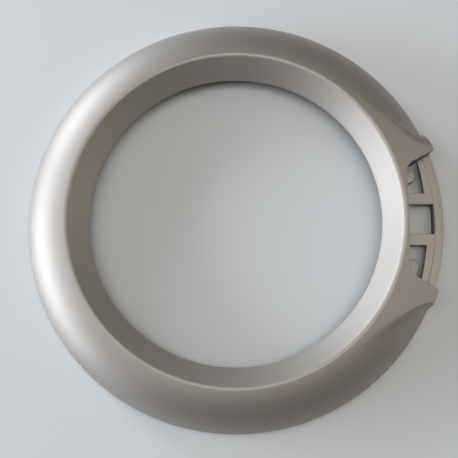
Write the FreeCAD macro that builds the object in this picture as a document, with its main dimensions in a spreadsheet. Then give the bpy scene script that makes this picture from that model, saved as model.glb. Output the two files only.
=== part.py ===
import FreeCAD, Part
import math
import os
from FreeCAD import Placement, Rotation, Vector

# Outer ring of a washing machine door: one thin plastic moulding, 440 mm across.
# The ring lies on its open back. Z is the ring's own axis and points to the front of the door,
# the back edge of the rim is at Z = 0, and the handle pocket is at +X.
# All lengths are in millimetres and all angles in degrees.

SIZES = [
    ("rim_radius", 220.0, "outer radius of the ring"),
    ("rim_height", 18.0, "height of the rim edge above the back"),
    ("rim_fall", 60.0, "how steeply the outer slope meets the rim"),
    ("rim_rounding", 1.5, "length of the rounding each side of the rim edge"),
    ("crest_radius", 173.0, "radius of the crest, the highest line of the ring"),
    ("crest_height", 48.6, "height of the crest before it is rounded"),
    ("crest_rounding", 4.0, "radius of the rounding along the crest"),
    ("crest_fall", 12.0, "how steeply the outer slope leaves the crest"),
    ("slope_pull", 0.36, "reach of the slope's two end directions, as a share of its length"),
    ("bore_radius", 153.8, "radius of the opening for the glass"),
    ("bore_height", 23.7, "height of the funnel's inner edge"),
    ("lip_depth", 5.0, "depth of the straight lip below the inner edge"),
    ("wall", 2.5, "wall thickness of the moulding"),
    ("wing_sector", 56.0, "angle each side of the pocket that is shaped by the wings"),
    ("flank_spread", 6.3, "how much wider a wing's flank is at the crest than at the rim"),
    ("flank_bend", 1.6, "how late a flank sweeps away on its way in: 1 is a steady sweep"),
    ("upper_front", 18.9, "angle of the upper wing's tip at the rim"),
    ("upper_lean", 11.2, "angle between the upper wing's front edge and the radius at its tip"),
    ("upper_crease", 22.8, "angle of the middle of the upper wing's flank at the rim"),
    ("upper_half", 3.0, "half the width of the upper wing's flank at the rim"),
    ("upper_sweep", 21.5, "how far the upper flank sweeps round between rim and crest"),
    ("upper_shoulder", 0.6, "roundness of the upper wing's shoulder: less than 1 is rounder than its foot"),
    ("lower_front", 20.2, "angle of the lower wing's tip at the rim"),
    ("lower_lean", 9.0, "angle between the lower wing's front edge and the radius at its tip"),
    ("lower_crease", 25.1, "angle of the middle of the lower wing's flank at the rim"),
    ("lower_half", 1.0, "half the width of the lower wing's flank at the rim"),
    ("lower_sweep", 23.0, "how far the lower flank sweeps round between rim and crest"),
    ("lower_shoulder", 1.0, "roundness of the lower wing's shoulder"),
    ("pocket_edge", 177.1, "distance from the axis to the pocket's straight inner edge"),
    ("pocket_corner", 15.0, "radius of the pocket's two inner corners"),
    ("ledge_width", 17.0, "width of the ledge that closes the pocket at the rim"),
    ("ledge_band", 8.5, "width of the ledge's raised outer band"),
    ("ledge_step", 0.6, "height of the step between band and ledge"),
    ("ledge_lip", 5.5, "depth of the lip along the ledge's inner edge"),
    ("ledge_reach", 21.5, "angle each side that the ledge reaches under the wings"),
    ("rib_offset", 22.0, "distance of each rib's middle from the pocket's middle"),
    ("rib_width", 12.0, "width of the two ribs across the pocket"),
    ("rib_thickness", 4.5, "thickness of the two ribs across the pocket"),
    ("boss_count", 12.0, "screw bosses round the back"),
    ("boss_first", 15.0, "angle of the first boss from the pocket's middle"),
    ("boss_circle", 191.0, "radius of the circle that the bosses stand on"),
    ("boss_radius", 5.5, "radius of a screw boss"),
    ("boss_setback", 3.0, "height of the boss faces above the back"),
    ("pocket_boss_radius", 8.8, "radius of the two bosses that show in the pocket"),
    ("pocket_boss_top", 14.0, "height of the tops of those two bosses"),
    ("screw_radius", 2.1, "radius of the blind hole for a screw"),
    ("screw_depth", 16.0, "depth of a screw hole in a full boss"),
    ("web_thickness", 2.0, "thickness of the webs behind the bosses"),
    ("web_setback", 6.0, "height of a web's free edge above the back"),
]

SLOPE_SPAN_COUNT = 12   # spans of the smooth curve down the outer slope
INSIDE_SPAN_COUNT = 4   # straight steps of the wall's inside, which nobody sees
SLOPE_FACE_COUNT = 4    # faces that the outer slope, the crest and the rim's rounding are made in
CREST_FACE_COUNT = 3
RIM_FACE_COUNT = 2
FLANK_STEP = 0.4        # distance between the wings' sections, as a share of the flank's half width
WIDEST_STEP = 5.0       # largest angle between two sections of the wings
CUT_OVERRUN = 5.0       # how far a cutter reaches past what it cuts

doc = FreeCAD.newDocument("door_outer_ring")


def make_sheet():
    """The spreadsheet of driving sizes: name, value and what the value is."""
    sheet = doc.addObject("Spreadsheet::Sheet", "sizes")
    for row, (name, value, note) in enumerate(SIZES, start=1):
        sheet.set(f"A{row}", name)
        sheet.set(f"B{row}", str(value))
        sheet.set(f"C{row}", note)
        sheet.setAlias(f"B{row}", name)
    doc.recompute()
    return sheet


sheet = make_sheet()


def size(name):
    """A driving size as it now stands in the sheet."""
    return float(sheet.get(name))


def slope_of(name):
    """The tangent of an angle that the sheet gives in degrees."""
    return math.tan(math.radians(size(name)))


def funnel_slope():
    """Rise of the funnel for each millimetre of radius, from the bore's edge to the crest."""
    rise = size("crest_height") - size("bore_height")
    return rise / (size("crest_radius") - size("bore_radius"))


def crest_tangent():
    """How far the crest's rounding reaches along the funnel and along the outer slope."""
    turn = math.atan(funnel_slope()) + math.radians(size("crest_fall"))
    return size("crest_rounding") * math.tan(turn / 2)


def slope_start():
    """Radius at which the outer slope leaves the crest's rounding."""
    return size("crest_radius") + crest_tangent() * math.cos(math.radians(size("crest_fall")))


def smooth_step(share):
    """0 below 0, 1 above 1, and between them a rise with level ends."""
    share = min(max(share, 0.0), 1.0)
    return share ** 2 * (3 - 2 * share)


def polar(radius, degrees, height):
    """A point from its radius, its angle and its height."""
    angle = math.radians(degrees)
    return Vector(radius * math.cos(angle), radius * math.sin(angle), height)


def turned(curve, degrees):
    """A curve of the upright plane through X, turned to another angle of the ring."""
    copy = curve.copy()
    copy.rotate(Placement(Vector(0, 0, 0), Rotation(Vector(0, 0, 1), degrees)))
    return copy


def spread(first, last, spans):
    """Evenly spaced values from the first to the last."""
    return [first + (last - first) * step / spans for step in range(spans + 1)]


def bezier(poles):
    """A curve from its poles."""
    curve = Part.BezierCurve()
    curve.setPoles(poles)
    return curve


def in_pieces(curve, count):
    """A curve cut into pieces that run on smoothly from each other."""
    cuts = spread(0, 1, count)
    pieces = []
    for first, last in zip(cuts, cuts[1:]):
        piece = curve.copy()
        piece.segment(first, last)
        pieces.append(piece)
    return pieces


def cone_height(radius):
    """Height of the cone that keeps the crest's fall out to the rim: the top of both wings."""
    return size("crest_height") - slope_of("crest_fall") * (radius - size("crest_radius"))


def cone_drop():
    """How far the inside of a wing's wall lies below its top."""
    return size("wall") * math.hypot(1, slope_of("crest_fall"))


def wing_share(radius, degrees, inset):
    """1 on a wing, 0 on the plain slope, and a smooth flank between them.

    The flank starts near the rim beside the pocket and sweeps away from it towards the crest.
    The inset moves it towards the pocket by that many millimetres.
    """
    side = "upper" if degrees >= 0 else "lower"
    rim = size("rim_radius")
    inward = min(max((rim - radius) / (rim - slope_start()), 0.0), 1.0) ** size("flank_bend")
    middle = size(side + "_crease") + size(side + "_sweep") * inward - math.degrees(inset / radius)
    half = size(side + "_half") + size("flank_spread") * inward
    share = min(max((middle + half - abs(degrees)) / (2 * half), 0.0), 1.0)
    return smooth_step(share ** size(side + "_shoulder"))


def inner_crest():
    """The sharp corner inside the wall, under the crest."""
    rise = funnel_slope()
    fall = slope_of("crest_fall")
    below_funnel = size("wall") * math.hypot(1, rise)
    outward = (below_funnel - cone_drop()) / (rise + fall)
    return Vector(size("crest_radius") + outward, 0, size("crest_height") - fall * outward - cone_drop())


def slope_curve(start, end):
    """A plain slope: it starts with the crest's fall and ends with the rim's."""
    leave = math.radians(size("crest_fall"))
    arrive = math.radians(size("rim_fall"))
    pull = size("slope_pull") * (end - start).Length
    second = start + Vector(math.cos(leave), 0, -math.sin(leave)) * pull
    third = end - Vector(math.cos(arrive), 0, -math.sin(arrive)) * pull
    return bezier([start, second, third, end])


def outer_slope():
    """The plain outer slope, from the crest's rounding to the rim's."""
    arrive = math.radians(size("rim_fall"))
    rounding = size("rim_rounding")
    start = Vector(slope_start(), 0, cone_height(slope_start()))
    end = Vector(size("rim_radius") - rounding * math.cos(arrive), 0,
                 size("rim_height") + rounding * math.sin(arrive))
    return slope_curve(start, end)


def slope_foot(depth):
    """Where a surface at a depth below the plain slope meets one at that depth inside the rim."""
    arrive = math.radians(size("rim_fall"))
    height = size("rim_height") + depth * math.tan(arrive) - depth / math.cos(arrive)
    return Vector(size("rim_radius") - depth, 0, height)


def inner_slope():
    """The inside of the plain slope, one wall's thickness below it."""
    return slope_curve(inner_crest(), slope_foot(size("wall")))


def raised(slope, degrees, spans, drop, inset):
    """Points down a plain slope, lifted to the wing's top as far as the wing is there."""
    points = []
    for share in spread(0, 1, spans):
        point = slope.value(share)
        lift = cone_height(point.x) - drop - point.z
        height = point.z + lift * wing_share(point.x, degrees, inset)
        points.append(polar(point.x, degrees, height))
    return points


def outer_curve(degrees):
    """The outer slope at one angle of the wings' sector."""
    curve = Part.BSplineCurve()
    points = raised(outer_slope(), degrees, SLOPE_SPAN_COUNT, 0, 0)
    curve.interpolate(Points=points, Parameters=spread(0, 1, SLOPE_SPAN_COUNT))
    return curve


def inner_points(degrees):
    """Corners down the inside of the wall at one angle, on plain slope and wings alike."""
    return raised(inner_slope(), degrees, INSIDE_SPAN_COUNT, cone_drop(), size("wall"))


def crest_curve():
    """The rounding over the crest, from the outer slope to the funnel: nearly an arc of a circle."""
    fall = math.radians(size("crest_fall"))
    rise = math.atan(funnel_slope())
    outward = Vector(math.cos(fall), 0, -math.sin(fall))
    inward = Vector(-math.cos(rise), 0, -math.sin(rise))
    top = Vector(size("crest_radius"), 0, size("crest_height"))
    first = top + outward * crest_tangent()
    last = top + inward * crest_tangent()
    pull = size("crest_rounding") * 4 / 3 * math.tan((fall + rise) / 4)
    return bezier([first, first - outward * pull, last - inward * pull, last])


def section(degrees, outer):
    """The closed outline of the wall at one angle, as a row of curves that ends with the outer slope.

    It runs over the crest, down the funnel, back up inside it, down the inside of the slope,
    round the back edge, up the side of the rim and up the outer slope.
    """
    rim = size("rim_radius")
    bore = size("bore_radius")
    wall = size("wall")
    lip_end = size("bore_height") - size("lip_depth")
    corner = inner_crest()
    lip_top = corner.z - funnel_slope() * (corner.x - bore - wall)
    crest = turned(crest_curve(), degrees)
    corners = [
        crest.getPole(crest.NbPoles),
        polar(bore, degrees, size("bore_height")),
        polar(bore, degrees, lip_end),
        polar(bore + wall, degrees, lip_end),
        polar(bore + wall, degrees, lip_top),
    ]
    corners += inner_points(degrees)
    slope_end = outer.getPole(outer.NbPoles)
    before_end = outer.getPole(outer.NbPoles - 1)
    reach = math.hypot(slope_end.x, slope_end.y)
    last_piece = reach - math.hypot(before_end.x, before_end.y)
    rim_corner = slope_end + (slope_end - before_end) * ((rim - reach) / last_piece)
    side_top = rim_corner - Vector(0, 0, size("rim_rounding"))
    corners += [
        polar(rim - wall, degrees, 0),
        polar(rim, degrees, 0),
        side_top,
    ]
    curves = in_pieces(crest, CREST_FACE_COUNT)
    curves += [Part.LineSegment(*ends) for ends in zip(corners, corners[1:])]
    curves += in_pieces(bezier([side_top, rim_corner, slope_end]), RIM_FACE_COUNT)
    curves += reversed(in_pieces(outer, SLOPE_FACE_COUNT))
    return curves


def side_angles(side):
    """Angles of one wing's sections: close together at its flank and wider apart beyond it."""
    crease = size(side + "_crease")
    half = size(side + "_half")
    growth = size("flank_spread") / size(side + "_sweep")
    outward = [crease]
    while outward[-1] < size("wing_sector"):
        width = half + growth * (outward[-1] - crease)
        outward.append(outward[-1] + FLANK_STEP * width)
    stretch = (size("wing_sector") - crease) / (outward[-1] - crease)
    outward = [crease + (angle - crease) * stretch for angle in outward]
    shift = math.degrees(size("wall") / size("rim_radius"))
    step = FLANK_STEP * half
    inward = []
    angle = crease - step
    while angle > step:
        inward.append(angle)
        if angle < crease - half - shift:
            step = min(2 * step, WIDEST_STEP)
        angle -= step
    return sorted(inward) + outward


def section_angles():
    """Angles of all sections of both wings, from the lower wing's end to the upper one's."""
    lower = [-angle for angle in reversed(side_angles("lower"))]
    return lower + [0.0] + side_angles("upper")


def skinned(curves, angles):
    """A smooth face through like curves that stand at the given angles."""
    rows = []
    for number in range(1, curves[0].NbPoles + 1):
        row = Part.BSplineCurve()
        row.interpolate(Points=[curve.getPole(number) for curve in curves], Parameters=angles)
        rows.append(row)
    along = curves[0]
    around = rows[0]
    surface = Part.BSplineSurface()
    surface.buildFromPolesMultsKnots(
        [row.getPoles() for row in rows],
        along.getMultiplicities(), around.getMultiplicities(),
        along.getKnots(), around.getKnots(),
        False, False, along.Degree, around.Degree)
    return surface.toShape()


def feature(name, shape):
    """A shape worked out above, as an object of the document."""
    item = doc.addObject("Part::Feature", name)
    item.Shape = shape
    return item


def boolean(kind, name, first, second):
    """A Part::Cut or Part::Common of two objects."""
    item = doc.addObject(kind, name)
    item.Base = first
    item.Tool = second
    return item


def fused(name, items):
    """Several objects as one solid."""
    item = doc.addObject("Part::MultiFuse", name)
    item.Shapes = items
    item.Refine = False
    return item


def revolved(name, source, angle):
    """A section turned about the ring's axis by an angle that an expression gives."""
    item = doc.addObject("Part::Revolution", name)
    item.Source = source
    item.Axis = Vector(0, 0, 1)
    item.Base = Vector(0, 0, 0)
    item.Solid = True
    item.setExpression("Angle", angle)
    return item


def face_of(points):
    """A flat face inside a closed row of corners."""
    return Part.Face(Part.makePolygon(points + points[:1]))


def without_ends(shape):
    """The faces of a sector of the ring, apart from the flat ones that end it."""
    faces = []
    for face in shape.Faces:
        box = face.BoundBox
        middle = box.Center
        across = Vector(-middle.y, middle.x, 0).normalize()
        spans = [abs((vertex.Point - middle).dot(across)) for vertex in face.Vertexes]
        if max(spans) > size("wall"):
            faces.append(face)
    return faces


def wing_faces():
    """The faces of the sector that holds both wings, each smooth from end to end."""
    angles = section_angles()
    sections = []
    for angle in angles:
        sections.append([as_spline(curve) for curve in section(angle, outer_curve(angle))])
    return [skinned(band, angles) for band in zip(*sections)]


def as_spline(curve):
    """The same curve as a spline, whatever kind it is."""
    return curve if isinstance(curve, Part.BSplineCurve) else curve.toBSpline()


def make_shell():
    """The thin wall all round: a plain revolved sector, sewn to the faces of the wings' sector."""
    end = size("wing_sector")
    curves = section(end, turned(outer_slope(), end))
    outline = Part.Wire([curve.toShape() for curve in curves])
    plain_section = feature("plain_section", Part.Face(outline))
    plain = revolved("plain_sector", plain_section, "360 - 2 * sizes.wing_sector")
    doc.recompute()
    faces = Part.makeCompound(without_ends(plain.Shape) + wing_faces())
    faces.sewShape()
    return feature("shell", Part.Solid(faces.Shells[0]))


def pocket_corners(inset):
    """Corners of the pocket in plan: an inner one and one clear of the whole rim on each side.

    The inset moves the outline into the wings and the crest by that many millimetres.
    """
    clear = size("rim_radius") + CUT_OVERRUN
    pairs = []
    for side, name in ((-1, "lower"), (1, "upper")):
        front = side * size(name + "_front")
        direction = front + side * size(name + "_lean")
        along = polar(1, direction, 0)
        tip = polar(size("rim_radius"), front, 0) + polar(inset, direction + side * 90, 0)
        inner = tip + along * ((size("pocket_edge") - inset - tip.x) / along.x)
        outer = tip + along * ((clear - tip.x) / along.x)
        pairs.append((inner, outer))
    return pairs


def make_pocket_prism(name, inset, bottom):
    """The pocket's outline as an upright prism with its two inner corners rounded."""
    (lower_inner, lower_end), (upper_inner, upper_end) = pocket_corners(inset)
    prism = doc.addObject("Part::Extrusion", name + "_sharp")
    prism.Base = feature(name + "_outline", face_of([lower_end, lower_inner, upper_inner, upper_end]))
    prism.DirMode = "Custom"
    prism.Dir = Vector(0, 0, 1)
    prism.Solid = True
    prism.setExpression("LengthFwd", "sizes.crest_height")
    prism.setExpression("Placement.Base.z", bottom)
    doc.recompute()
    corner = size("pocket_corner") + inset
    rounded = []
    for number, edge in enumerate(prism.Shape.Edges, start=1):
        ends = [vertex.Point for vertex in edge.Vertexes]
        upright = abs(ends[0].z - ends[1].z) > size("wall")
        if upright and ends[0].x < size("boss_circle"):
            rounded.append((number, corner, corner))
    item = doc.addObject("Part::Fillet", name)
    item.Base = prism
    item.Edges = rounded
    return item


def make_pocket_walls():
    """The upright wall round the pocket, under the crest and under both wings' front edges.

    It hangs from the middle of the wall above it. Under the crest it comes down to the bosses'
    faces, and from there its lower edge rises to the ledge.
    """
    setback = size("boss_setback")
    inside = size("pocket_edge") - 2 * size("wall")
    outside = size("rim_radius") - size("wall") / 2
    under_ledge = size("rim_height") - size("ledge_step") - size("wall")
    profile = [
        (inside, setback),
        (size("boss_circle"), setback),
        (size("rim_radius") - size("ledge_width"), under_ledge),
        (outside, under_ledge),
        (outside, cone_height(outside) - cone_drop() / 2),
        (inside, cone_height(inside) - cone_drop() / 2),
    ]
    reach = size("wing_sector") / 2
    outline = face_of([polar(radius, -reach, height) for radius, height in profile])
    below = revolved("below_the_wings", feature("wall_limit", outline), "sizes.wing_sector")
    block = make_pocket_prism("walls_outside", size("wall"), "0")
    hole = make_pocket_prism("walls_inside", 0, "0")
    return boolean("Part::Common", "pocket_walls", boolean("Part::Cut", "walls_block", block, hole), below)


def make_ledge():
    """The ledge between the wings, with its raised band, its back wall and the middle window."""
    rim = size("rim_radius")
    top = size("rim_height")
    wall = size("wall")
    step = size("ledge_step")
    reach = size("ledge_reach")
    band = rim - size("ledge_band")
    inner = rim - size("ledge_width")
    corners = [
        (inner, top - step),
        (band - step, top - step),
        (band, top),
        (rim - wall / 2, top),
        (rim - wall / 2, top - wall),
        (band + wall, top - wall),
        (band + wall, 0),
        (band, 0),
        (band, top - step - wall),
        (inner + wall, top - step - wall),
        (inner + wall, top - size("ledge_lip")),
        (inner, top - size("ledge_lip")),
    ]
    outline = face_of([polar(radius, -reach, height) for radius, height in corners])
    ledge = revolved("ledge_plate", feature("ledge_section", outline), "2 * sizes.ledge_reach")

    opening = doc.addObject("Part::Box", "window_box")
    opening.setExpression("Length", "sizes.rim_radius")
    opening.setExpression("Width", "2 * sizes.rib_offset - sizes.rib_width")
    opening.setExpression("Height", "sizes.rim_height")
    opening.setExpression("Placement.Base.y", "sizes.rib_width / 2 - sizes.rib_offset")
    opening.setExpression("Placement.Base.z", "sizes.rim_height / 2")
    limit = doc.addObject("Part::Cylinder", "window_limit")
    limit.setExpression("Radius", "sizes.rim_radius - sizes.ledge_band")
    limit.setExpression("Height", "2 * sizes.rim_height")
    window = boolean("Part::Common", "middle_window", opening, limit)
    return boolean("Part::Cut", "ledge", ledge, window)


def make_ribs():
    """The two flat ribs from the wall under the crest to the ledge."""
    ribs = []
    for name, side in (("upper_rib", 1), ("lower_rib", -1)):
        rib = doc.addObject("Part::Box", name)
        rib.setExpression("Length",
                          "sizes.rim_radius - sizes.ledge_width - sizes.pocket_edge + sizes.wall")
        rib.setExpression("Width", "sizes.rib_width")
        rib.setExpression("Height", "sizes.rib_thickness")
        rib.setExpression("Placement.Base.x", "sizes.pocket_edge - sizes.wall / 2")
        rib.setExpression("Placement.Base.y", f"{side} * sizes.rib_offset - sizes.rib_width / 2")
        rib.setExpression("Placement.Base.z",
                          "sizes.rim_height - sizes.ledge_step - sizes.rib_thickness")
        ribs.append(rib)
    return ribs


def boss_angles():
    """Angles of the screw bosses, all round the ring."""
    count = int(size("boss_count"))
    return [size("boss_first") + 360 * number / count for number in range(count)]


def in_pocket(degrees):
    """Whether a boss at this angle stands between the wings' tips."""
    return -size("lower_front") < (degrees + 180) % 360 - 180 < size("upper_front")


def place_on_circle(item, degrees, height):
    """Puts an upright cylinder on the bosses' circle."""
    item.setExpression("Placement.Base.x", f"sizes.boss_circle * cos({degrees} deg)")
    item.setExpression("Placement.Base.y", f"sizes.boss_circle * sin({degrees} deg)")
    item.setExpression("Placement.Base.z", height)


def hollow_outline():
    """The ring's hollow at the back, out to the middle of the wall on every side."""
    half = size("wall") / 2
    inside = size("bore_radius") + size("wall")
    corner = inner_crest() + Vector(0, 0, half)
    foot = slope_foot(half)
    funnel_foot = Vector(inside, 0, corner.z - funnel_slope() * (corner.x - inside))
    slope = slope_curve(corner, foot)
    corners = [Vector(inside, 0, 0), funnel_foot]
    corners += [slope.value(share) for share in spread(0, 1, INSIDE_SPAN_COUNT)]
    corners += [Vector(foot.x, 0, 0), Vector(inside, 0, 0)]
    return Part.makePolygon(corners)


def make_full_bosses():
    """Bosses and radial webs behind the outer slope, trimmed to the middle of the wall."""
    raw = []
    for number, angle in enumerate(boss_angles(), start=1):
        if in_pocket(angle):
            continue
        boss = doc.addObject("Part::Cylinder", f"boss_{number:02d}")
        boss.setExpression("Radius", "sizes.boss_radius")
        boss.setExpression("Height", "sizes.crest_height")
        place_on_circle(boss, angle, "sizes.boss_setback")
        web = doc.addObject("Part::Box", f"web_{number:02d}")
        web.setExpression("Length", "sizes.rim_radius - sizes.bore_radius")
        web.setExpression("Width", "sizes.web_thickness")
        web.setExpression("Height", "sizes.crest_height")
        half = size("web_thickness") / 2
        start = polar(size("bore_radius"), angle, size("web_setback"))
        aside = polar(half, angle - 90, 0)
        web.Placement = Placement(start + aside, Rotation(Vector(0, 0, 1), angle))
        raw += [boss, web]
    source = feature("hollow_section", Part.Face(hollow_outline()))
    hollow = revolved("hollow", source, "360")
    return boolean("Part::Common", "bosses_and_webs", fused("raw_bosses", raw), hollow)


def make_pocket_bosses():
    """The two wide, closed bosses that show in the pocket, one in each of its corners."""
    items = []
    for number, angle in enumerate(boss_angles(), start=1):
        if not in_pocket(angle):
            continue
        boss = doc.addObject("Part::Cylinder", f"pocket_boss_{number:02d}")
        boss.setExpression("Radius", "sizes.pocket_boss_radius")
        boss.setExpression("Height", "sizes.pocket_boss_top - sizes.boss_setback")
        place_on_circle(boss, angle, "sizes.boss_setback")
        items.append(boss)
    return items


def make_screw_holes():
    """Blind holes up into every boss from the back."""
    holes = []
    for number, angle in enumerate(boss_angles(), start=1):
        hole = doc.addObject("Part::Cylinder", f"screw_hole_{number:02d}")
        hole.setExpression("Radius", "sizes.screw_radius")
        depth = "sizes.screw_depth"
        if in_pocket(angle):
            depth = "sizes.pocket_boss_top - sizes.boss_setback - sizes.wall"
        hole.setExpression("Height", f"{depth} + sizes.boss_setback")
        place_on_circle(hole, angle, "0")
        holes.append(hole)
    return fused("screw_holes", holes)


def make_ring():
    """The whole moulding as one solid."""
    cutter = make_pocket_prism("pocket_cutter", 0, "sizes.rim_height")
    opened = boolean("Part::Cut", "open_shell", make_shell(), cutter)
    pieces = [opened, make_ledge(), make_pocket_walls(), make_full_bosses()]
    pieces += make_ribs()
    pieces += make_pocket_bosses()
    ring = boolean("Part::Cut", "door_ring", fused("moulding", pieces), make_screw_holes())
    ring.Label = "door_ring"
    doc.recompute()
    return ring


def check_and_write(nodes):
    """Writes each sub-part once every object of the document has come out sound."""
    for item in doc.Objects:
        if "Invalid" in item.State or "Error" in item.State:
            raise RuntimeError(f"{item.Label} did not compute: {item.State}")
    for node in nodes:
        shape = node.Shape
        if shape.isNull() or not shape.isValid() or len(shape.Solids) != 1:
            raise RuntimeError(f"{node.Label} is not one sound solid")
    os.makedirs("parts", exist_ok=True)
    for node in nodes:
        node.Shape.exportStep(f"parts/{node.Label}.step")
        box = node.Shape.BoundBox
        print(node.Label, f"{box.XLength:.1f} x {box.YLength:.1f} x {box.ZLength:.1f} mm,",
              f"{node.Shape.Volume / 1000:.1f} cm3,", len(node.Shape.Faces), "faces")


check_and_write([make_ring()])
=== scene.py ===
import math
import bmesh
import bpy
import numpy as np
from mathutils import Matrix, Vector


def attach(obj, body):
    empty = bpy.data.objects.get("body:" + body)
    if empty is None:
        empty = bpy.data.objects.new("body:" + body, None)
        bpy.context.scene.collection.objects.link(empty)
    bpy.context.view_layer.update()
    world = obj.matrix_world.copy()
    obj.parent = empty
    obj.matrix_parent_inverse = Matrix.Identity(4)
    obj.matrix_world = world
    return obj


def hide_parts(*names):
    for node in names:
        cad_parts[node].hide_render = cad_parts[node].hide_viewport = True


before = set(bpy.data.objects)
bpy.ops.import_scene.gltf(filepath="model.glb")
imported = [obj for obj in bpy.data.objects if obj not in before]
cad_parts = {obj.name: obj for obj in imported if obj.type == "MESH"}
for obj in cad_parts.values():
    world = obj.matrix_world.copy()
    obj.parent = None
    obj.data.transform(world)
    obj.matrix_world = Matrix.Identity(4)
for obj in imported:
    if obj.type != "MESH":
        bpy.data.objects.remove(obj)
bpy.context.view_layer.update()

mm = 0.001          # lengths below are in millimetres, angles in degrees


def say(stage):
    print("scene:", stage)


# Shared curve helpers

def polar(radius, angle, height):
    # point = (radius * cos(angle), radius * sin(angle), height), for whole arrays
    turn = np.radians(angle)
    return np.stack(np.broadcast_arrays(radius * np.cos(turn), radius * np.sin(turn), height), axis=-1)


def cubic(poles, share):
    # cubic Bezier: sum of poles weighted by (1-t)^3, 3t(1-t)^2, 3t^2(1-t), t^3
    share = np.asarray(share)[..., None]
    rest = 1 - share
    a, b, c, d = [np.asarray(pole, float) for pole in poles]
    return rest ** 3 * a + 3 * share * rest ** 2 * b + 3 * share ** 2 * rest * c + share ** 3 * d


def softStep(share):
    # 3t^2 - 2t^3 between 0 and 1
    share = np.clip(share, 0, 1)
    return share ** 2 * (3 - 2 * share)


# The ring's skin: the sizes of the moulding, which the part's frame gives as one solid

ring = {
    "rimRadius": 220.0, "rimHeight": 18.0, "rimFall": 60.0, "rimRounding": 1.5,
    "crestRadius": 173.0, "crestHeight": 48.6, "crestRounding": 5.0, "crestFall": 12.0, "slopePull": 0.36,
    "boreRadius": 153.8, "boreHeight": 23.7, "boreRounding": 1.2, "lipDepth": 5.0, "lipLean": 2.0,
    "wall": 2.5, "edgeRounding": 0.4, "flankSpread": 6.3,
    "upper": {"front": 18.9, "lean": 11.2, "crease": 22.4, "half": 2.6, "sweep": 24.5,
              "power": 2.2, "shoulder": 0.42},
    "lower": {"front": 20.2, "lean": 9.0, "crease": 25.1, "half": 1.0, "sweep": 23.0,
              "power": 1.6, "shoulder": 1.0},
    "pocketEdge": 177.1, "pocketCorner": 15.0, "cutRounding": 0.6,
    # rows over each stretch of the section, and degrees between columns near the wings and beyond
    "lineSteps": 4001, "slopeRows": 48, "roundRows": 6, "sideRows": 8, "crestRows": 12, "insideRows": 25,
    "wingStep": 0.25, "wingReach": 45.0, "middleStep": 0.5, "middleReach": 60.0, "plainStep": 1.0,
}

crestFall = math.radians(ring["crestFall"])
rimFall = math.radians(ring["rimFall"])
funnelRise = math.atan2(ring["crestHeight"] - ring["boreHeight"], ring["crestRadius"] - ring["boreRadius"])
crestReach = ring["crestRounding"] * math.tan((funnelRise + crestFall) / 2)
slopeStart = ring["crestRadius"] + crestReach * math.cos(crestFall)
slopeEnd = ring["rimRadius"] - ring["rimRounding"] * math.cos(rimFall)
coneDrop = ring["wall"] / math.cos(crestFall)
insideRim = ring["rimRadius"] - ring["wall"]
coneFall = math.tan(crestFall)


def coneHeight(radius):
    # top of both wings: a cone that keeps the crest's fall out to the rim
    return ring["crestHeight"] - coneFall * (radius - ring["crestRadius"])


def innerCrest():
    # where the inside of the funnel meets the inside of the slope
    rise = math.tan(funnelRise)
    outward = (ring["wall"] / math.cos(funnelRise) - coneDrop) / (rise + coneFall)
    return ring["crestRadius"] + outward, ring["crestHeight"] - coneFall * outward - coneDrop


def slopePoles(start, end):
    # poles of a slope that leaves with the crest's fall and arrives with the rim's
    pull = ring["slopePull"] * math.hypot(end[0] - start[0], end[1] - start[1])
    second = (start[0] + pull * math.cos(crestFall), start[1] - pull * math.sin(crestFall))
    third = (end[0] - pull * math.cos(rimFall), end[1] + pull * math.sin(rimFall))
    return start, second, third, end


lineShare = np.linspace(0, 1, ring["lineSteps"])
outerLine = cubic(slopePoles(
    (slopeStart, coneHeight(slopeStart)),
    (slopeEnd, ring["rimHeight"] + ring["rimRounding"] * math.sin(rimFall))), lineShare)
innerLine = cubic(slopePoles(
    innerCrest(),
    (insideRim, ring["rimHeight"] + ring["wall"] * (math.tan(rimFall) - 1 / math.cos(rimFall)))), lineShare)


def wingShare(radius, angle, inset=0.0):
    # softStep(((middle + half - |angle|) / (2 half)) ^ shoulder), where middle and half grow
    # with (distance in from the rim) ^ power
    radius, angle = np.broadcast_arrays(np.asarray(radius, float), np.asarray(angle, float))
    depth = np.clip((ring["rimRadius"] - radius) / (ring["rimRadius"] - slopeStart), 0, 1)
    total = np.zeros_like(radius)
    for side, mask in (("upper", angle >= 0), ("lower", angle < 0)):
        wing = ring[side]
        inward = depth ** wing["power"]
        middle = wing["crease"] + wing["sweep"] * inward - np.degrees(inset / radius)
        half = wing["half"] + ring["flankSpread"] * inward
        share = np.clip((middle + half - np.abs(angle)) / (2 * half), 0, 1)
        total = np.where(mask, softStep(share ** wing["shoulder"]), total)
    return total


def outerHeight(radius, angle):
    # plain slope, lifted to the cone by the wing's share
    plain = np.interp(radius, outerLine[:, 0], outerLine[:, 1])
    return plain + wingShare(radius, angle) * (coneHeight(radius) - plain)


def innerHeight(radius, angle):
    # the same on the inside, with the flank moved in by one wall
    plain = np.interp(radius, innerLine[:, 0], innerLine[:, 1])
    return plain + wingShare(radius, angle, ring["wall"]) * (coneHeight(radius) - coneDrop - plain)


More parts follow.
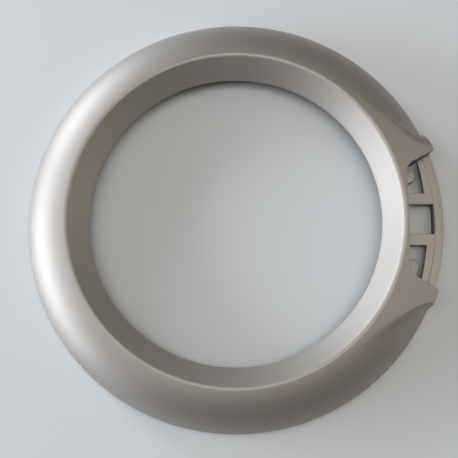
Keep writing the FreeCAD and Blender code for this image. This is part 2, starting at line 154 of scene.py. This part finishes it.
def pocketEdge(inset, outRadius):
    # the pocket's outline in plan, as rows of radius and angle from the lower tip to the upper one:
    # each half is the straight inner edge, a corner's arc and the front edge out to a radius, all
    # moved into the wall by the inset
    corner = ring["pocketCorner"] + inset
    line = ring["pocketEdge"] - inset
    halves = []
    for side, sign in (("lower", -1), ("upper", 1)):
        front, lean = ring[side]["front"], ring[side]["lean"]
        along = polar(1.0, front + lean, 0)[:2]
        into = np.array([-along[1], along[0]])
        base = polar(ring["rimRadius"], front, 0)[:2] + into * inset
        reach = (line + corner + into[0] * corner - base[0]) / along[0]
        centre = base + along * reach - into * corner
        straight = np.stack([np.full(24, line), np.linspace(0, centre[1], 25)[:-1]], axis=1)
        sweep = np.linspace(math.pi, math.radians(90 + front + lean), 22)[:-1]
        arc = centre + corner * np.stack([np.cos(sweep), np.sin(sweep)], axis=1)
        b = base @ along
        last = -b + math.sqrt(b * b - base @ base + outRadius ** 2)
        out = base + along * np.linspace(reach, last, 34)[:, None]
        half = np.concatenate([straight, arc, out])
        angle = sign * np.degrees(np.arctan2(half[:, 1], half[:, 0]))
        halves.append(np.stack([np.hypot(*half.T), angle], axis=1))
    lower, upper = halves
    return np.concatenate([lower[:0:-1], upper])


def gridFaces(index, closed):
    # quads between neighbouring rows and columns of a grid of vertex numbers
    columns = np.roll(index, -1, axis=1) if closed else index[:, 1:]
    left = index if closed else index[:, :-1]
    quads = np.stack([left[:-1], columns[:-1], columns[1:], left[1:]], axis=-1)
    return quads.reshape(-1, 4)


def meshObject(name, points, faces, material, paintAndShade, sharpAngle=35.0):
    # a mesh of points in millimetres and faces, welded, turned outwards and shaded smooth, with a
    # share of paint per point; where that share is kept low in the pocket, the bare dark plastic is
    # partly painted shade
    if isinstance(faces, np.ndarray):
        faces = faces.tolist()
    mesh = bpy.data.meshes.new(name)
    mesh.from_pydata((np.asarray(points) * mm).tolist(), [], faces)
    coverAndShade = mesh.attributes.new("paint", "FLOAT", "POINT")
    coverAndShade.data.foreach_set("value", np.broadcast_to(np.float32(paintAndShade), len(points)).copy())
    obj = bpy.data.objects.new(name, mesh)
    bpy.context.scene.collection.objects.link(obj)
    shape = bmesh.new()
    shape.from_mesh(mesh)
    bmesh.ops.remove_doubles(shape, verts=shape.verts, dist=0.002 * mm)
    bmesh.ops.recalc_face_normals(shape, faces=shape.faces)
    shape.to_mesh(mesh)
    shape.free()
    mesh.shade_smooth()
    mesh.set_sharp_from_angle(angle=math.radians(sharpAngle))
    mesh.materials.append(material)
    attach(obj, "root")
    return obj


def makeSkin(material):
    # one closed surface: rows follow the wall's outline, columns stand round the ring
    rho = ring["cutRounding"]
    edgeInset = pocketEdge(rho, slopeEnd)
    edge = pocketEdge(0.0, slopeEnd)
    tipTurn = math.degrees(rho / ring["rimRadius"])
    upperTip, lowerTip = ring["upper"]["front"], ring["lower"]["front"]

    def wingColumns(tip):
        # angles from a wing's tip out to the plain part, in two steps
        middle = ring["middleStep"]
        fine = np.arange(tip + tipTurn, ring["wingReach"], ring["wingStep"])
        return np.concatenate([fine, np.arange(fine[-1] + middle, ring["middleReach"], middle)])

    plain = np.arange(ring["middleReach"], 360 - ring["middleReach"], ring["plainStep"])
    regular = np.concatenate([wingColumns(upperTip), plain, (360 - wingColumns(lowerTip))[::-1]])
    signed = np.where(regular > 180, regular - 360, regular)
    columns = np.concatenate([edgeInset[:, 1], signed])       # the pocket's columns come first
    count = len(columns)
    inPocket = len(edgeInset)

    share = np.linspace(0, 1, ring["slopeRows"] + 1)
    outward = (outerLine[:, 0] - slopeStart) / (slopeEnd - slopeStart)
    spacing = np.interp(share, lineShare, outward)
    outerEnd = np.full(count, slopeEnd)
    outerEnd[:inPocket] = edgeInset[:, 0]
    outerRadius = slopeStart + spacing[:, None] * (outerEnd - slopeStart)
    slope = polar(outerRadius, columns[None, :], outerHeight(outerRadius, columns[None, :]))

    # over the rim: the slope's last direction, turned down into the upright side
    step = 0.05
    endHeight = outerHeight(slopeEnd, columns)
    fall = (outerHeight(slopeEnd - step, columns) - endHeight) / step
    cornerHeight = endHeight - fall * (ring["rimRadius"] - slopeEnd)
    sideTop = cornerHeight - ring["rimRounding"]
    t = np.linspace(0, 1, ring["roundRows"] + 1)[1:, None]
    roundRadius = (1 - t) ** 2 * slopeEnd + (1 - (1 - t) ** 2) * ring["rimRadius"]
    roundHeight = (1 - t) ** 2 * endHeight + 2 * t * (1 - t) * cornerHeight + t ** 2 * sideTop
    rounding = polar(roundRadius, columns[None, :], roundHeight)
    cutTop = ring["rimHeight"] - rho
    t = np.linspace(0, 1, ring["sideRows"] + 1)[1:, None]
    side = polar(ring["rimRadius"], columns[None, :], sideTop + t * (cutTop - sideTop))
    ease = ring["edgeRounding"]
    skirtHeight = np.array([cutTop * 0.6, cutTop * 0.3, ease])
    skirt = polar(ring["rimRadius"], columns[None, :], skirtHeight[:, None])
    foot = polar(np.array([ring["rimRadius"] - ease, insideRim + ease])[:, None], columns[None, :], 0.0)
    insideSkirt = polar(insideRim, columns[None, :], np.array([ease, cutTop * 0.5, cutTop])[:, None])
    innerTop = innerHeight(insideRim, columns)
    t = np.linspace(0, 1, ring["sideRows"] + ring["roundRows"] + 1)[1:-1, None]
    insideSide = polar(insideRim, columns[None, :], cutTop + t * (innerTop - cutTop))
    cornerRadius, cornerDepth = innerCrest()
    innerEnd = np.full(count, insideRim)
    innerEnd[:inPocket] = np.minimum(edgeInset[:, 0], insideRim)
    t = np.linspace(1, 0, ring["insideRows"])[:, None]
    innerRadius = cornerRadius + t * (innerEnd - cornerRadius)
    inside = polar(innerRadius, columns[None, :], innerHeight(innerRadius, columns[None, :]))

    # down the inside of the funnel, round the lip, up the funnel and over the crest
    bore, wall = ring["boreRadius"], ring["wall"]
    lipEnd = ring["boreHeight"] - ring["lipDepth"]
    lean, lipBack = ring["lipLean"], bore + wall + 0.8 * ring["lipLean"]
    lipTop = cornerDepth - math.tan(funnelRise) * (cornerRadius - lipBack)
    soft = ring["boreRounding"]
    up = np.array([math.cos(funnelRise), math.sin(funnelRise)])
    down = np.array([math.cos(crestFall), -math.sin(crestFall)])
    crest = np.array([ring["crestRadius"], ring["crestHeight"]])
    boreTop = np.array([bore, ring["boreHeight"]])
    first = crest - up * crestReach
    last = crest + crestReach * down
    pull = ring["crestRounding"] * 4 / 3 * math.tan((crestFall + funnelRise) / 4)
    over = cubic([first, first + up * pull, last - pull * down, last],
                 np.linspace(0, 1, ring["crestRows"] + 1)[:-1])
    t = np.linspace(0, 1, 6)[:, None]
    lipDown = np.array([lean, -ring["lipDepth"]]) / math.hypot(lean, ring["lipDepth"])
    boreRound = ((1 - t) ** 2 * (boreTop + soft * lipDown) + 2 * t * (1 - t) * boreTop
                 + t ** 2 * (boreTop + soft * up))
    t = np.linspace(0, 1, 8)[1:-1, None]
    funnel = boreTop + soft * up + t * (first - boreTop - soft * up)
    profile = np.concatenate([
        [(lipBack, lipTop), (lipBack, lipEnd + ease), (lipBack - ease, lipEnd), (bore + lean + 0.3, lipEnd),
         (bore + lean - 0.1, lipEnd + ease)],
        boreRound, funnel, over])
    throat = polar(profile[:, :1], columns[None, :], profile[:, 1:])

    groups = [slope, rounding, side, skirt, foot, insideSkirt, insideSide, inside, throat]
    rows = np.concatenate([np.broadcast_to(group, (len(group), count, 3)) for group in groups])
    index = np.arange(len(rows) * count).reshape(len(rows), count)
    starts = np.cumsum([0] + [len(group) for group in groups])
    slopeLast, sideLast = starts[1] - 1, starts[3] - 1
    insideCut, insideFoot = starts[6] - 1, starts[7]

    faces = []
    for row in range(len(rows)):
        pair = index[[row, (row + 1) % len(rows)]]
        cutAway = slopeLast <= row < sideLast or insideCut <= row < insideFoot
        faces.append(gridFaces(pair[:, inPocket:], False) if cutAway else gridFaces(pair, True))

    # the cut round the pocket: up the lower tip, along the outline, down the upper tip and back
    # along the band, with both of its edges rounded
    upRows, inUpRows = np.arange(sideLast, slopeLast - 1, -1), np.arange(insideCut, insideFoot + 1)
    low, high, across = count - 1, inPocket, np.arange(inPocket)
    outer = np.concatenate([index[upRows, low], index[slopeLast, across],
                            index[upRows[::-1], high], index[sideLast, across[::-1]]])
    inner = np.concatenate([index[inUpRows, low], index[insideFoot, across],
                            index[inUpRows[::-1], high], index[insideCut, across[::-1]]])
    flat = rows.reshape(-1, 3)
    bandPart = np.arange(len(outer) - inPocket, len(outer))
    bothCorners = [0, 2 * len(upRows) + inPocket - 1]

    def cornerPoints(chain, tips, radiusOf, heightOf):
        # where the cut's sharp corner is before it is rounded
        edgeAngle = np.concatenate([np.full(len(upRows), tips[0]), edge[:, 1],
                                    np.full(len(upRows), tips[1]), edgeInset[::-1, 1]])
        radius, height = np.hypot(flat[chain, 0], flat[chain, 1]), flat[chain, 2].copy()
        notch = slice(len(upRows), len(upRows) + inPocket)
        radius[notch] = radiusOf(edge[:, 0])
        height[notch] = heightOf(radius[notch], edge[:, 1])
        height[bandPart] = ring["rimHeight"]
        height[bothCorners] = ring["rimHeight"]
        return polar(radius, edgeAngle, height)

    ends = pocketEdge(0.0, insideRim)[[0, -1], 1]
    outerCorner = cornerPoints(outer, (-lowerTip, upperTip), lambda r: r, outerHeight)
    innerCorner = cornerPoints(inner, ends, lambda r: np.minimum(r, insideRim), innerHeight)
    through = innerCorner - outerCorner
    through /= np.linalg.norm(through, axis=1)[:, None]
    end = outerCorner + rho * through
    strip = []
    for t in (0.25, 0.5, 0.75, 1.0):
        strip.append((1 - t) ** 2 * flat[outer] + 2 * t * (1 - t) * outerCorner + t ** 2 * end)
    strip.append(innerCorner)
    extra = np.arange(len(strip) * len(outer)).reshape(len(strip), len(outer)) + len(flat)
    faces.append(gridFaces(np.concatenate([outer[None], extra, inner[None]]), True))
    points = np.concatenate([flat] + strip)
    faces = np.concatenate(faces)
    used, faces = np.unique(faces, return_inverse=True)
    # paint covers the front; a little overspray reaches round the back edge and the lip
    throatCover = np.concatenate([[0, 0.5, 0.8], np.ones(len(profile) - 3)])
    coverAndShade = [1, 1, 1, 1, 0.8, np.array([0.6, 0.25, 0.0]), 0, 0, throatCover]
    coverAndShade = [np.broadcast_to(np.asarray(value, float), len(group)) for value, group in zip(coverAndShade, groups)]
    paintAndShade = np.repeat(np.concatenate(coverAndShade), count)
    paintAndShade = np.concatenate([paintAndShade, np.ones(len(outer) * (len(strip) - 1)), np.full(len(outer), 0.6)])
    return meshObject("ring_skin", points[used], faces.reshape(-1, 4), material, paintAndShade[used])


# Ledge, ribs, bosses and the walls of the pocket

pocket = {
    "ledgeInside": 203.0, "bandInside": 211.5, "bandOutside": 219.4, "bandSlope": 0.8, "step": 0.6,
    "reach": 21.5, "wall": 2.5,
    "ribInside": 16.0, "ribOutside": 28.0, "ribShift": 1.1, "upperTaper": 3.0, "lowerTaper": 1.0,
    "plate": 5.0, "bevel": 0.45,
    "bossCircle": 191.0, "bossAngle": 15.0, "bossRadius": 8.8, "bossTop": 14.0, "bossFoot": 3.0,
    "shoulderReach": 6.0, "shoulderDepth": 11.0,
}


def softCorners(corners, radius, steps=4):
    # a closed outline with each corner replaced by the quadratic curve between two points on its sides
    corners = np.asarray(corners, float)
    before = np.roll(corners, 1, axis=0) - corners
    after = np.roll(corners, -1, axis=0) - corners
    lengthBefore = np.linalg.norm(before, axis=1)[:, None]
    lengthAfter = np.linalg.norm(after, axis=1)[:, None]
    cut = np.minimum(np.reshape(radius, (-1, 1)), 0.45 * np.minimum(lengthBefore, lengthAfter))
    first = corners + before / lengthBefore * cut
    last = corners + after / lengthAfter * cut
    t = np.linspace(0, 1, steps + 1)[None, :, None]
    curve = (1 - t) ** 2 * first[:, None] + 2 * t * (1 - t) * corners[:, None] + t ** 2 * last[:, None]
    return curve.reshape(-1, 2)


def addBevel(obj, width):
    # small rounded edges, as a mould leaves them
    bevel = obj.modifiers.new("soft edges", "BEVEL")
    bevel.width = width * mm
    bevel.segments = 3
    bevel.limit_method = "ANGLE"
    bevel.angle_limit = math.radians(40)
    bevel.harden_normals = True


def makeBand(material):
    # raised band along the rim, with the wall that hangs from it: its section carried round the axis
    p = pocket
    top, inside, outside = ring["rimHeight"] + 0.02, p["bandInside"], p["bandOutside"]
    foot, slope = top - p["step"], p["bandSlope"]
    corners = [(inside, 0.0), (inside, foot - 1.2), (inside - slope, foot - 0.5),
               (inside - slope, foot - 0.05), (inside + slope, top), (outside, top),
               (outside - 0.4, top - p["wall"]), (inside + p["wall"], top - p["wall"]),
               (inside + p["wall"], 0.0)]
    outline = softCorners(corners, [0.3, 0.3, 0.1, 0.1, 0.8, 0.02, 0.3, 0.3, 0.3])
    angles = np.linspace(-p["reach"], p["reach"], 120)
    grid = polar(outline[:, :1], angles[None, :], outline[:, 1:])
    index = np.arange(len(outline) * len(angles)).reshape(len(outline), len(angles))
    quads = gridFaces(np.concatenate([index, index[:1]]), False)
    faces = quads.tolist() + [index[:, 0].tolist(), index[::-1, -1].tolist()]
    # the spray fades down the hanging wall, whose bare dark foot is also painted shade below the band
    paintAndShade = np.repeat(np.clip(outline[:, 1] / top * 1.6 - 0.6, 0.0, 1.0), len(angles))
    return meshObject("ledge_band", grid.reshape(-1, 3), faces, material, paintAndShade)


def makeLedge(material):
    # ledge and ribs are one flat plate: out along the ledge, in along each side of each rib, and
    # back under the band
    p = pocket
    inner, band = p["ledgeInside"], p["bandInside"] + 0.1
    wallInside = ring["pocketEdge"] - 0.5 * p["wall"]

    def arc(radius, first, last, count):
        # points at one radius between two angles, in plan
        return polar(radius, np.linspace(first, last, count), 0.0)[:, :2]

    def angleAt(radius, across):
        # angle = asin(across / radius)
        return math.degrees(math.asin(across / radius))

    def ledgeHalf(shift, taper):
        # the ledge's inner radius grows by the taper from the rib out to the wing
        ribOut, ribIn = p["ribOutside"] + shift, p["ribInside"] + shift
        start = angleAt(inner, ribOut)
        edgeAngle = np.linspace(start, p["reach"], 36)
        edgeRadius = inner + taper * (edgeAngle - start) / (p["reach"] - start)
        return np.concatenate([
            arc(band, 0.0, angleAt(band, ribIn), 12),
            [(wallInside, ribIn), (wallInside, ribOut)],
            polar(edgeRadius, edgeAngle, 0.0)[:, :2],
        ])

    upper = ledgeHalf(p["ribShift"], p["upperTaper"])
    lower = ledgeHalf(-p["ribShift"], p["lowerTaper"])[:0:-1] * [1, -1]
    under = arc(p["bandInside"] + 0.6 * p["wall"], p["reach"], -p["reach"], 60)
    outline = np.concatenate([lower, upper, under])
    count = len(outline)
    top = ring["rimHeight"] - p["step"]
    bottomPoints = np.column_stack([outline, np.full(count, top - p["plate"])])
    topPoints = np.column_stack([outline, np.full(count, top)])
    here = np.arange(count)
    sides = np.stack([here, np.roll(here, -1), np.roll(here, -1) + count, here + count], axis=1)
    faces = sides.tolist() + [here[::-1].tolist(), (here + count).tolist()]
    # the plate's sides turn from paint at the top to bare dark plastic at the foot: partly the spray's
    # reach, partly painted shade along the edges of the ledge and ribs
    obj = meshObject("ledge_and_ribs", np.concatenate([bottomPoints, topPoints]), faces, material,
                     np.repeat([0.2, 1.0], count))
    addBevel(obj, p["bevel"])
    return obj


def makePocketWalls(material):
    # the wall round the pocket: the pocket's outline and the same outline one wall further in, each
    # from the lower edge up into the wing's own wall
    p = pocket
    middle = ring["rimRadius"] - 0.5 * p["wall"]
    near, far = pocketEdge(0.02, middle), pocketEdge(p["wall"], middle)
    underLedge = ring["rimHeight"] - p["step"] - p["wall"]
    rows = []
    for path, low in ((near, False), (near, True), (far, True), (far, False)):
        height = coneHeight(path[:, 0]) - 0.5 * coneDrop
        foot = np.interp(path[:, 0], [p["bossCircle"], p["ledgeInside"]], [p["bossFoot"], underLedge])
        rows.append(polar(path[:, 0], path[:, 1], foot if low else height))
    grid = np.array(rows)
    index = np.arange(grid.shape[0] * grid.shape[1]).reshape(grid.shape[:2])
    quads = gridFaces(np.concatenate([index, index[:1]]), False)
    faces = quads.tolist() + [index[:, 0].tolist(), index[::-1, -1].tolist()]
    # the walls stay mostly bare dark plastic: partly the spray's reach, partly painted shade in the pocket
    # under the wings
    paintAndShade = np.repeat([0.5, 0.1, 0.0, 0.0], grid.shape[1])
    return meshObject("pocket_walls", grid.reshape(-1, 3), faces, material, paintAndShade)


def postGrid(centre, radius, low, high, soft, hole, holeTop):
    # a post turned about its own upright axis: down the hole, over the foot, up the side, over the top
    t = np.linspace(0, math.pi / 2, 5)
    foot = np.stack([radius - 0.3 + 0.3 * np.cos(t[::-1]), low + 0.3 - 0.3 * np.sin(t[::-1])], axis=1)
    crown = np.stack([radius - soft + soft * np.cos(t), high - soft + soft * np.sin(t)], axis=1)
    line = np.concatenate([[(0.0, holeTop + 0.8), (hole, holeTop), (hole, low + 0.4), (hole + 0.4, low)],
                           foot, crown, [(0.0, high)]])
    angles = np.linspace(0, 360, 49)[:-1]
    grid = polar(line[:, :1], angles[None, :], line[:, 1:]) + np.array([*centre, 0.0])
    return grid


def joinGrids(name, grids, material, paintAndShade):
    # several closed grids, ring after ring of points, as one mesh
    points, faces, start = [], [], 0
    for grid in grids:
        index = np.arange(grid.shape[0] * grid.shape[1]).reshape(grid.shape[:2]) + start
        faces.append(gridFaces(index, True))
        points.append(grid.reshape(-1, 3))
        start += len(points[-1])
    return meshObject(name, np.concatenate(points), np.concatenate(faces), material, paintAndShade)


def makePocketBosses(material):
    # the two wide bosses in the pocket's corners
    p = pocket
    grids = []
    for side in (1, -1):
        centre = polar(p["bossCircle"], side * p["bossAngle"], 0)[:2]
        grids.append(postGrid(centre, p["bossRadius"], p["bossFoot"], p["bossTop"], 0.8, back["screw"],
                              p["bossTop"] - p["wall"]))
        # a shoulder as high as the boss joins it to the wall in the pocket's corner
        inside, outside = ring["pocketEdge"] - 0.4, centre[0] + p["shoulderReach"]
        line = centre[1] + side * np.array([back["screw"] + 1.0, p["shoulderDepth"]])
        corners = [(inside, line[0]), (outside, line[0]), (outside, line[1]), (inside, line[1])]
        outline = softCorners(corners, [0.4, 0.4, 0.4, 0.4])
        middle = outline.mean(axis=0)
        top = p["bossTop"] - 0.1
        rows = [(outline, p["bossFoot"] + 0.5), (outline, top - 0.4),
                (middle + (outline - middle) * 0.97, top), (middle + (outline - middle) * 0.94, top)]
        shoulder = np.array([np.column_stack([flat, np.full(len(flat), height)]) for flat, height in rows])
        ends = [np.broadcast_to(row.mean(axis=0), row.shape) for row in (shoulder[0], shoulder[-1])]
        grids.append(np.concatenate([ends[:1], shoulder, ends[1:]]))
    # the spray reaches their tops and fades down their sides
    heights = np.concatenate([grid.reshape(-1, 3)[:, 2] for grid in grids])
    paintAndShade = np.clip((heights - p["bossFoot"]) / (p["bossTop"] - p["bossFoot"]) * 1.5 - 0.4, 0.0, 1.0)
    return joinGrids("pocket_bosses", grids, material, paintAndShade)


# Screw bosses and webs behind the slope

back = {"bosses": 12, "radius": 5.5, "screw": 2.1, "screwDepth": 16.0, "web": 2.0, "webFoot": 6.0,
        "webCorner": 12.0}


def bossAngles():
    # every boss but the two that stand in the pocket
    angles = pocket["bossAngle"] + np.arange(back["bosses"]) * 360.0 / back["bosses"]
    return angles[np.abs((angles + 180) % 360 - 180) > 2 * pocket["bossAngle"]]


def makeBosses(material):
    # a post under the wall at each boss's angle
    circle, foot = pocket["bossCircle"], pocket["bossFoot"]
    grids = []
    for angle in bossAngles():
        centre = polar(circle, angle, 0)[:2]
        grid = postGrid(centre, back["radius"], foot, ring["crestHeight"], 0.1, back["screw"],
                        foot + back["screwDepth"])
        # the post ends in the middle of the sloping wall
        top = innerHeight(np.hypot(grid[..., 0], grid[..., 1]), 180.0) + 0.5 * ring["wall"]
        grid[..., 2] = np.minimum(grid[..., 2], top)
        grids.append(grid)
    return joinGrids("screw_bosses", grids, material, 0.0)


def makeWebs(material):
    # a web is the hollow's section, from its free edge up to the middle of the wall, two millimetres thick
    half = 0.5 * ring["wall"]
    cornerRadius, cornerDepth = innerCrest()
    inside, outside = ring["boreRadius"] + half, ring["rimRadius"] - half
    radius = np.linspace(cornerRadius, insideRim, 24)
    slope = np.stack([radius, innerHeight(radius, 180.0) + half], axis=1)
    lipTop = cornerDepth - math.tan(funnelRise) * (cornerRadius - inside)
    foot, corner = back["webFoot"], back["webCorner"]
    section = np.concatenate([[(inside, foot + corner), (inside, lipTop)], slope,
                              [(outside, foot)], [(inside + corner, foot)]])
    grids, count = [], len(section)
    for angle in bossAngles():
        sides = []
        for aside in (-0.5 * back["web"], 0.5 * back["web"]):
            offset = polar(aside, angle + 90, 0)
            sides.append(polar(section[:, 0], angle, section[:, 1]) + offset)
        grids.append(np.array(sides))
    points = np.concatenate([grid.reshape(-1, 3) for grid in grids])
    faces = []
    for start in range(0, len(points), 2 * count):
        index = np.arange(2 * count).reshape(2, count) + start
        faces += gridFaces(index, True).tolist() + [index[0, ::-1].tolist(), index[1].tolist()]
    return meshObject("boss_webs", points, faces, material, 0.0)


# Materials

def linearColour(code):
    # sRGB hex to linear: ((c + 0.055) / 1.055) ^ 2.4 above 0.04045, c / 12.92 below
    parts = np.array([int(code[i:i + 2], 16) for i in (1, 3, 5)]) / 255
    linear = np.where(parts > 0.04045, ((parts + 0.055) / 1.055) ** 2.4, parts / 12.92)
    return (*linear.tolist(), 1.0)


def addNode(tree, kind, settings=None, inputs=None, links=None):
    # one node with its settings, its input values and what is linked to its inputs
    node = tree.nodes.new(kind)
    for key, value in (settings or {}).items():
        setattr(node, key, value)
    for key, value in (inputs or {}).items():
        node.inputs[key].default_value = value
    for key, source in (links or {}).items():
        tree.links.new(source, node.inputs[key])
    return node


def newMaterial(name):
    # a material with an empty node tree
    material = bpy.data.materials.new(name)
    material.use_nodes = True
    material.node_tree.nodes.clear()
    return material, material.node_tree


# satin silver paint, sprayed on moulded ABS: fine aluminium flake in a warm binder, so broad soft
# highlights with a slight sparkle and a faint orange peel. Where the spray doesn't reach, the
# charcoal ABS itself shows, dull and even; on the pocket's walls and the lower edges of its ledge
# and ribs this dark tone is also painted shade. Sizes are in millimetres: real flake, about 0.03
# across, is too fine to show and is drawn coarser
paint = {
    "flake": "#bab6b0", "shade": "#a6a19b", "metallic": 0.9, "roughness": 0.58,
    "flakeSize": 0.35, "peelSize": 2.4, "peelHeight": 0.004,
    "plastic": "#454340", "plasticRoughness": 0.55, "sprayFrom": 0.25, "sprayTo": 0.75, "ragged": 0.5,
}


def silverPaint():
    # share of paint = smooth step of the cover plus the flake's noise: it sets colour, metal and gloss;
    # where the cover is kept low in the pocket, the dark plastic it leaves is partly painted shade
    material, tree = newMaterial("silver_paint_on_abs")
    place = addNode(tree, "ShaderNodeTexCoord")
    coverAndShade = addNode(tree, "ShaderNodeAttribute", {"attribute_name": "paint"})
    flake = addNode(tree, "ShaderNodeTexNoise", {}, {"Scale": 1 / (paint["flakeSize"] * mm), "Detail": 2.0},
                    {"Vector": place.outputs["Object"]})
    peel = addNode(tree, "ShaderNodeTexNoise", {}, {"Scale": 1 / (paint["peelSize"] * mm), "Detail": 1.0},
                   {"Vector": place.outputs["Object"]})
    tone = addNode(tree, "ShaderNodeMix", {"data_type": "RGBA"}, {}, {"Factor": flake.outputs["Fac"]})
    tone.inputs["A"].default_value = linearColour(paint["shade"])
    tone.inputs["B"].default_value = linearColour(paint["flake"])
    # the spray's edge is ragged: the cover is shifted by the flake's noise before it is cut
    ragged = addNode(tree, "ShaderNodeMath", {"operation": "MULTIPLY_ADD"},
                     {1: paint["ragged"], 2: -0.5 * paint["ragged"]}, {0: flake.outputs["Fac"]})
    spread = addNode(tree, "ShaderNodeMath", {"operation": "ADD"}, {},
                     {0: coverAndShade.outputs["Fac"], 1: ragged.outputs["Value"]})
    edge = addNode(tree, "ShaderNodeMapRange", {"interpolation_type": "SMOOTHSTEP"},
                   {"From Min": paint["sprayFrom"], "From Max": paint["sprayTo"]},
                   {"Value": spread.outputs["Value"]})
    colour = addNode(tree, "ShaderNodeMix", {"data_type": "RGBA"}, {},
                     {"Factor": edge.outputs["Result"], "B": tone.outputs["Result"]})
    colour.inputs["A"].default_value = linearColour(paint["plastic"])
    metallic = addNode(tree, "ShaderNodeMath", {"operation": "MULTIPLY"}, {1: paint["metallic"]},
                       {0: edge.outputs["Result"]})
    rough = addNode(tree, "ShaderNodeMapRange", {},
                    {"To Min": paint["plasticRoughness"], "To Max": paint["roughness"]},
                    {"Value": edge.outputs["Result"]})
    bump = addNode(tree, "ShaderNodeBump", {}, {"Strength": 1.0, "Distance": paint["peelHeight"] * mm},
                   {"Height": peel.outputs["Fac"]})
    shader = addNode(tree, "ShaderNodeBsdfPrincipled", {}, {},
                     {"Base Color": colour.outputs["Result"], "Metallic": metallic.outputs["Value"],
                      "Roughness": rough.outputs["Result"], "Normal": bump.outputs["Normal"]})
    addNode(tree, "ShaderNodeOutputMaterial", {}, {}, {"Surface": shader.outputs["BSDF"]})
    return material


def paleFloor():
    # pale matt paper, dull and even
    material, tree = newMaterial("matt_paper")
    shader = addNode(tree, "ShaderNodeBsdfPrincipled", {},
                     {"Roughness": studio["floorRoughness"], "Base Color": linearColour(studio["floor"])})
    addNode(tree, "ShaderNodeOutputMaterial", {}, {}, {"Surface": shader.outputs["BSDF"]})
    return material


# Stage, lights and camera

# angles in radians, picture sizes in pixels of the photo, places in millimetres
camera = {"tilt": 0.18381, "swing": 0.01254, "focalPixels": 740.0, "imageSize": 458,
          "principal": (229.0, 228.0), "offset": (6.641, 8.56925), "distance": 784.7144, "sensor": 36.0}


def makeCamera():
    # right, up and back axes: a tilt about the photo's level axis, then a swing about its upright one
    ct, st = math.cos(camera["tilt"]), math.sin(camera["tilt"])
    cs, ss = math.cos(camera["swing"]), math.sin(camera["swing"])
    right, up, behind = np.array([1.0, 0, 0]), np.array([0, ct, st]), np.array([0, -st, ct])
    right, behind = right * cs - behind * ss, behind * cs + right * ss
    x, y = camera["offset"]
    place = -x * right - y * up + camera["distance"] * behind + np.array([0, 0, ring["rimHeight"]])
    data = bpy.data.cameras.new("camera")
    data.sensor_width = camera["sensor"]
    data.lens = camera["focalPixels"] / camera["imageSize"] * camera["sensor"]
    data.shift_x = (camera["imageSize"] / 2 - camera["principal"][0]) / camera["imageSize"]
    data.shift_y = -(camera["imageSize"] / 2 - camera["principal"][1]) / camera["imageSize"]
    data.clip_end = 20
    obj = bpy.data.objects.new("camera", data)
    matrix = Matrix.Identity(4)
    for column, axis in enumerate((right, up, behind)):
        for row in range(3):
            matrix[row][column] = axis[row]
    matrix.translation = Vector(place * mm)
    obj.matrix_world = matrix
    bpy.context.scene.collection.objects.link(obj)
    bpy.context.scene.camera = obj


# a low window on the left in three panes, a weak fill from the right, and a strip and two
# softboxes above: place in metres, width and height in metres, power in watts, colour
studio = {
    "lights": [
        ("window_middle", (-3.0, 0.2, 0.7), 1.4, 0.72, 52.0, "#eff5ff"),
        ("window_far", (-2.24, 2.0, 0.74), 1.0, 1.0, 54.0, "#eff5ff"),
        ("window_near", (-2.8, -1.0, 0.68), 1.0, 1.0, 34.0, "#eff5ff"),
        ("fill_right", (3.0, 0.0, 0.68), 2.0, 1.0, 8.0, "#fff0e2"),
        ("strip_above", (0.0, 0.0, 1.9), 2.6, 0.7, 11.5, "#fff8f0"),
        ("soft_above", (0.1, -0.1, 1.9), 0.9, 0.9, 4.2, "#fff8f0"),
        ("soft_right", (0.9, 0.5, 1.15), 0.5, 0.5, 0.9, "#fff4e8"),
    ],
    "aim": (0.0, 0.0, 0.02), "world": "#fff8f1", "worldStrength": 0.1,
    "floor": "#dee4e8", "floorRoughness": 0.9, "floorHalf": 6.0,
}


def areaLight(name, place, width, height, power, colour):
    # a flat rectangle of light that faces the object
    data = bpy.data.lights.new(name, "AREA")
    data.shape = "RECTANGLE"
    data.size, data.size_y = width, height
    data.energy = power
    data.color = linearColour(colour)[:3]
    obj = bpy.data.objects.new(name, data)
    aim = Vector(studio["aim"]) - Vector(place)
    obj.matrix_world = Matrix.Translation(Vector(place)) @ aim.to_track_quat("-Z", "Y").to_matrix().to_4x4()
    bpy.context.scene.collection.objects.link(obj)


def makeStage():
    # a square floor at height 0, the lights and an even world
    half = studio["floorHalf"]
    mesh = bpy.data.meshes.new("floor")
    corners = [(-half, -half, 0), (half, -half, 0), (half, half, 0), (-half, half, 0)]
    mesh.from_pydata(corners, [], [(0, 1, 2, 3)])
    floor = bpy.data.objects.new("floor", mesh)
    bpy.context.scene.collection.objects.link(floor)
    mesh.materials.append(paleFloor())
    for light in studio["lights"]:
        areaLight(*light)
    world = bpy.data.worlds.new("studio")
    bpy.context.scene.world = world
    world.use_nodes = True
    world.node_tree.nodes["Background"].inputs["Color"].default_value = linearColour(studio["world"])
    world.node_tree.nodes["Background"].inputs["Strength"].default_value = studio["worldStrength"]


bpy.context.scene.view_settings.view_transform = "Standard"
makeCamera()
makeStage()
say("camera and stage")
paintMaterial = silverPaint()
skin = makeSkin(paintMaterial)
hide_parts("door_ring")
say("skin")
makeBand(paintMaterial)
makeLedge(paintMaterial)
makePocketWalls(paintMaterial)
makePocketBosses(paintMaterial)
say("pocket")
makeBosses(paintMaterial)
makeWebs(paintMaterial)
say("back")
